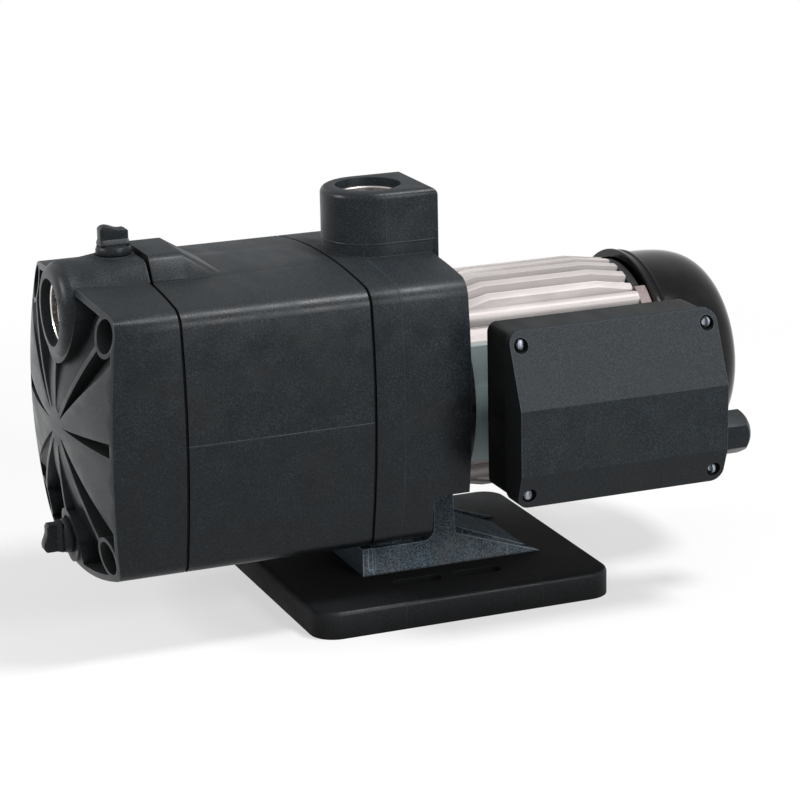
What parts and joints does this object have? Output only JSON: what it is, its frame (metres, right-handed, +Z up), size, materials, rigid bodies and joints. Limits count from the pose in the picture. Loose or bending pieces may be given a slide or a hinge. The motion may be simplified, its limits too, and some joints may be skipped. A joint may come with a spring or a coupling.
{
  "type": "horizontal multistage pump",
  "caption": "Horizontal multistage pump with a boxy moulded body, ribbed domed front, threaded suction and discharge ports, a finned motor with a terminal box, and a slotted foot.",
  "frame": {"origin": "centre of the foot's underside, on the floor", "axes": "+X along the shaft from the suction side to the fan, +Y away from the terminal box, +Z up out of the discharge port"},
  "size_m": [0.408, 0.2085, 0.232],
  "materials": {
    "pump_plastic": "fine moulded texture",
    "foot_plastic": "fine moulded texture",
    "lid_plastic": "fine moulded texture",
    "box_plastic": "fine moulded texture",
    "plug_plastic": "satin",
    "port_steel": "machined",
    "zinc_steel": "zinc plated",
    "rubber": "matte",
    "brass": "machined",
    "stage_plastic": "satin",
    "impeller_plastic": "satin",
    "shaft_steel": "ground",
    "bearing_steel": "polished",
    "seal_ceramic": "lapped",
    "bracket_paint": "satin black",
    "frame_aluminium": "as extruded",
    "lamination_steel": "stacked sheet",
    "winding_copper": "enamelled wire",
    "fan_plastic": "satin",
    "cover_gloss": "gloss black",
    "block_plastic": "satin",
    "can_aluminium": "drawn can"
  },
  "bodies": {
    "pump_body": {"foot": "foot_plastic", "foot_screws": "zinc_steel", "front_cover": "pump_plastic", "suction_insert": "port_steel", "pump_casing": "pump_plastic", "rear_casing": "pump_plastic", "discharge_insert": "port_steel", "cover_ring": "rubber", "casing_ring": "rubber", "tie_bolts": "zinc_steel", "tie_washers": "zinc_steel", "bolt_inserts": "brass", "suction_disc": "stage_plastic", "stage_bowl_1": "stage_plastic", "stage_bowl_2": "stage_plastic", "stage_bowl_3": "stage_plastic", "stage_bowl_4": "stage_plastic", "seal_seat": "seal_ceramic", "motor_bracket": "bracket_paint", "motor_frame": "frame_aluminium", "stator_core": "lamination_steel", "stator_windings": "winding_copper", "front_bearing_outer": "bearing_steel", "rear_bearing_outer": "bearing_steel", "wave_washer": "shaft_steel", "rear_shield": "frame_aluminium", "motor_tie_rods": "zinc_steel", "fan_cover": "cover_gloss", "fan_cover_screws": "zinc_steel", "terminal_box": "box_plastic", "box_gasket": "rubber", "terminal_lid": "lid_plastic", "lid_gasket": "rubber", "lid_screws": "zinc_steel", "terminal_block": "block_plastic", "capacitor": "can_aluminium", "gland_body": "plug_plastic"},
    "rotor": {"shaft": "shaft_steel", "rotor_core": "lamination_steel", "rotor_end_rings": "frame_aluminium", "impeller_1": "impeller_plastic", "impeller_2": "impeller_plastic", "impeller_3": "impeller_plastic", "impeller_4": "impeller_plastic", "spacer_sleeves": "shaft_steel", "impeller_nut": "shaft_steel", "seal_head": "shaft_steel", "seal_spring": "shaft_steel", "flinger": "rubber", "front_bearing_inner": "bearing_steel", "rear_bearing_inner": "bearing_steel", "fan": "fan_plastic"},
    "front_balls": {"front_bearing_balls": "bearing_steel"},
    "rear_balls": {"rear_bearing_balls": "bearing_steel"},
    "filler_ring": {"filler_seal": "rubber"},
    "filler_cap": {"filler_plug": "plug_plastic"},
    "drain_ring": {"drain_seal": "rubber"},
    "drain_cap": {"drain_plug": "plug_plastic"},
    "gland_sleeve": {"gland_seal": "rubber"},
    "gland_cap": {"gland_nut": "plug_plastic"}
  },
  "joints": [
    {"name": "rotor_spin", "type": "hinge", "parent": "pump_body", "child": "rotor", "pos_m": [0, 0, 0.114], "axis": [1, 0, 0], "continuous": true},
    {"name": "front_cage_turn", "type": "hinge", "parent": "pump_body", "child": "front_balls", "pos_m": [0.022, 0, 0.114], "axis": [1, 0, 0], "continuous": true},
    {"name": "rear_cage_turn", "type": "hinge", "parent": "pump_body", "child": "rear_balls", "pos_m": [0.1185, 0, 0.114], "axis": [1, 0, 0], "continuous": true},
    {"name": "filler_lift", "type": "slide", "parent": "pump_body", "child": "filler_ring", "axis": [0, 0, 1], "range_m": [0, 0.012]},
    {"name": "filler_turn", "type": "hinge", "parent": "filler_ring", "child": "filler_cap", "pos_m": [-0.17, 0, 0.2078], "axis": [0, 0, 1], "range_deg": [0, 3230]},
    {"name": "drain_draw", "type": "slide", "parent": "pump_body", "child": "drain_ring", "axis": [-1, 0, 0], "range_m": [0, 0.012]},
    {"name": "drain_turn", "type": "hinge", "parent": "drain_ring", "child": "drain_cap", "pos_m": [-0.202, 0, 0.053], "axis": [-1, 0, 0], "range_deg": [0, 3230]},
    {"name": "gland_draw", "type": "slide", "parent": "pump_body", "child": "gland_sleeve", "axis": [1, 0, 0], "range_m": [0, 0.012]},
    {"name": "gland_turn", "type": "hinge", "parent": "gland_sleeve", "child": "gland_cap", "pos_m": [0.15, -0.092, 0.09], "axis": [1, 0, 0], "range_deg": [0, 2879]}
  ],
  "couplings": [
    {"joint": "front_cage_turn", "follows": "rotor_spin", "ratio": 0.383},
    {"joint": "rear_cage_turn", "follows": "rotor_spin", "ratio": 0.384},
    {"joint": "filler_lift", "follows": "filler_turn", "m_per_rad": 0.00021279},
    {"joint": "drain_draw", "follows": "drain_turn", "m_per_rad": 0.00021279},
    {"joint": "gland_draw", "follows": "gland_turn", "m_per_rad": 0.00023873}
  ]
}
